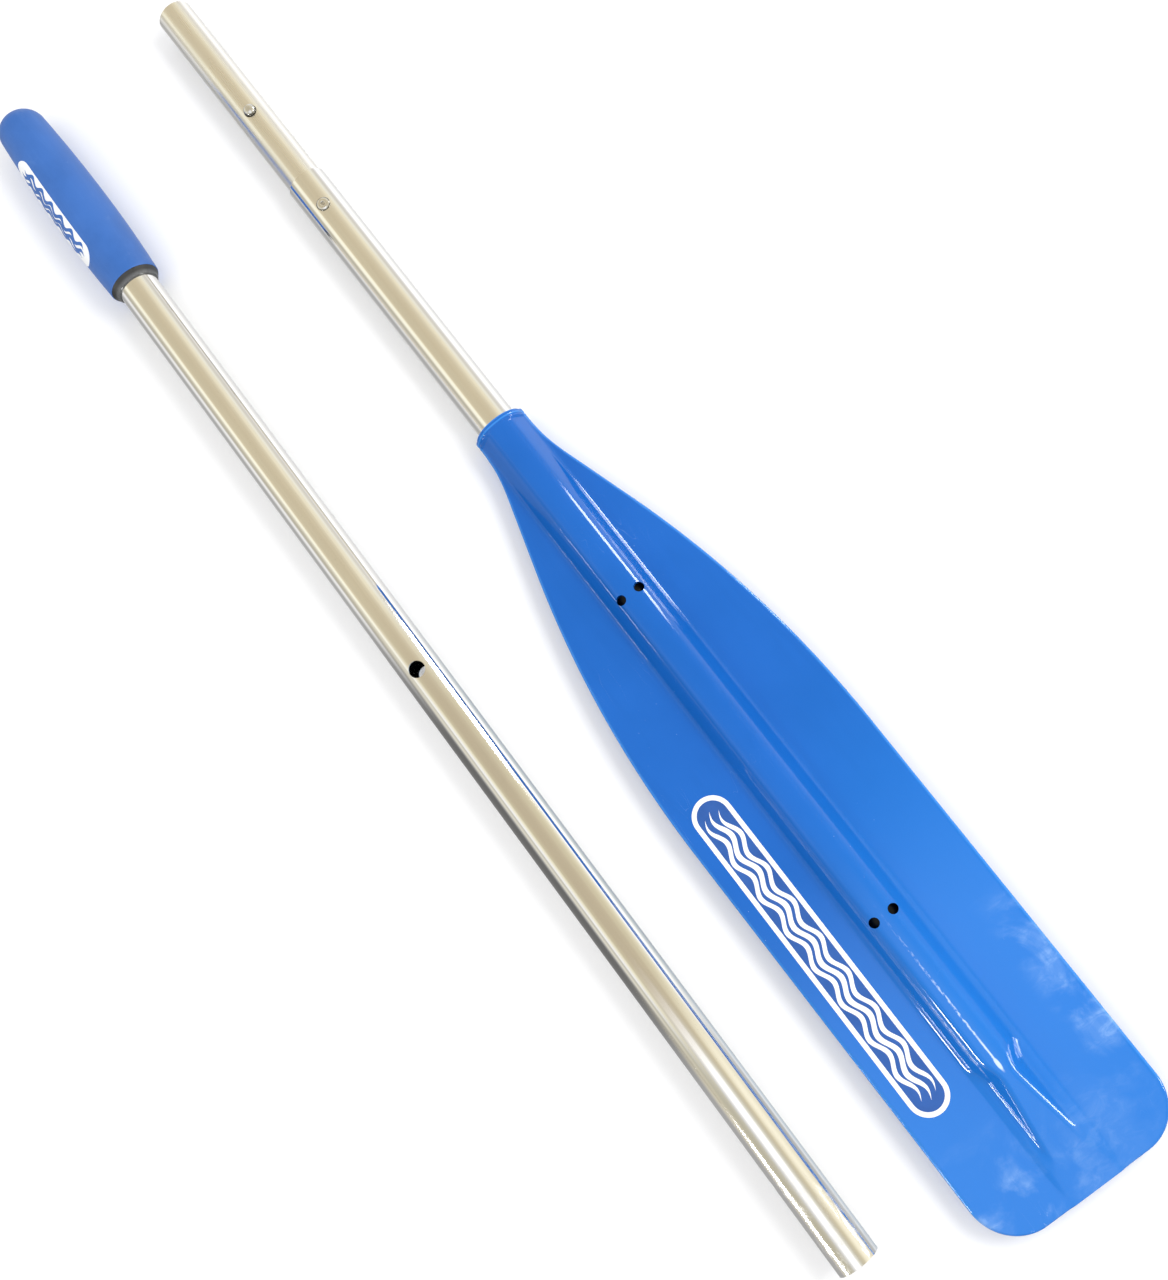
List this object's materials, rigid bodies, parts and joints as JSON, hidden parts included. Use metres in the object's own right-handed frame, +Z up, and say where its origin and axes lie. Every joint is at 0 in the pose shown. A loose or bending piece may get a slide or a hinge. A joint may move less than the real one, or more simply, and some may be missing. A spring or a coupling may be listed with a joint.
{
  "type": "two-piece rowing oar",
  "caption": "Rowing oar taken apart into a handle half and a blade half: metal shafts, blue moulded grip and blade, a sprung button and a drilled hole for the oarlock pin.",
  "frame": {"origin": "on the surface that both halves lie on, under the middle of their common box", "axes": "+X along both shafts from the hand grip towards the blade's tip, +Y from the handle half towards the blade half, +Z up, out of the blade's upper face"},
  "size_m": [1.1324, 0.2558, 0.0464],
  "materials": {
    "polished_tube": "polished",
    "satin_tube": "satin",
    "blade": "gloss",
    "grip": "matte",
    "grip_core": "matte",
    "rivet": "polished",
    "button": "polished",
    "spring_steel": "satin"
  },
  "bodies": {
    "blade_half": {"blade": "blade", "lower_shaft": "polished_tube", "joining_insert": "satin_tube", "insert_rivet_body": "rivet", "insert_rivet_mandrel": "spring_steel", "snap_spring": "spring_steel"},
    "handle_half": {"upper_shaft": "polished_tube", "grip_core": "grip_core", "hand_grip": "grip"},
    "snap_button": {"snap_button": "button"}
  },
  "joints": [
    {"name": "button_press", "type": "slide", "parent": "blade_half", "child": "snap_button", "axis": [0, 0, -1], "range_m": [0, 0.0043], "stiffness_N_per_m": 2500, "springref_m": -0.002, "deforming": ["snap_spring"]},
    {"name": "handle_carry", "type": "slide", "parent": "blade_half", "child": "handle_half", "axis": [-0.9935, 0.1139, -0.0019], "range_m": [0, 1.3605]}
  ]
}
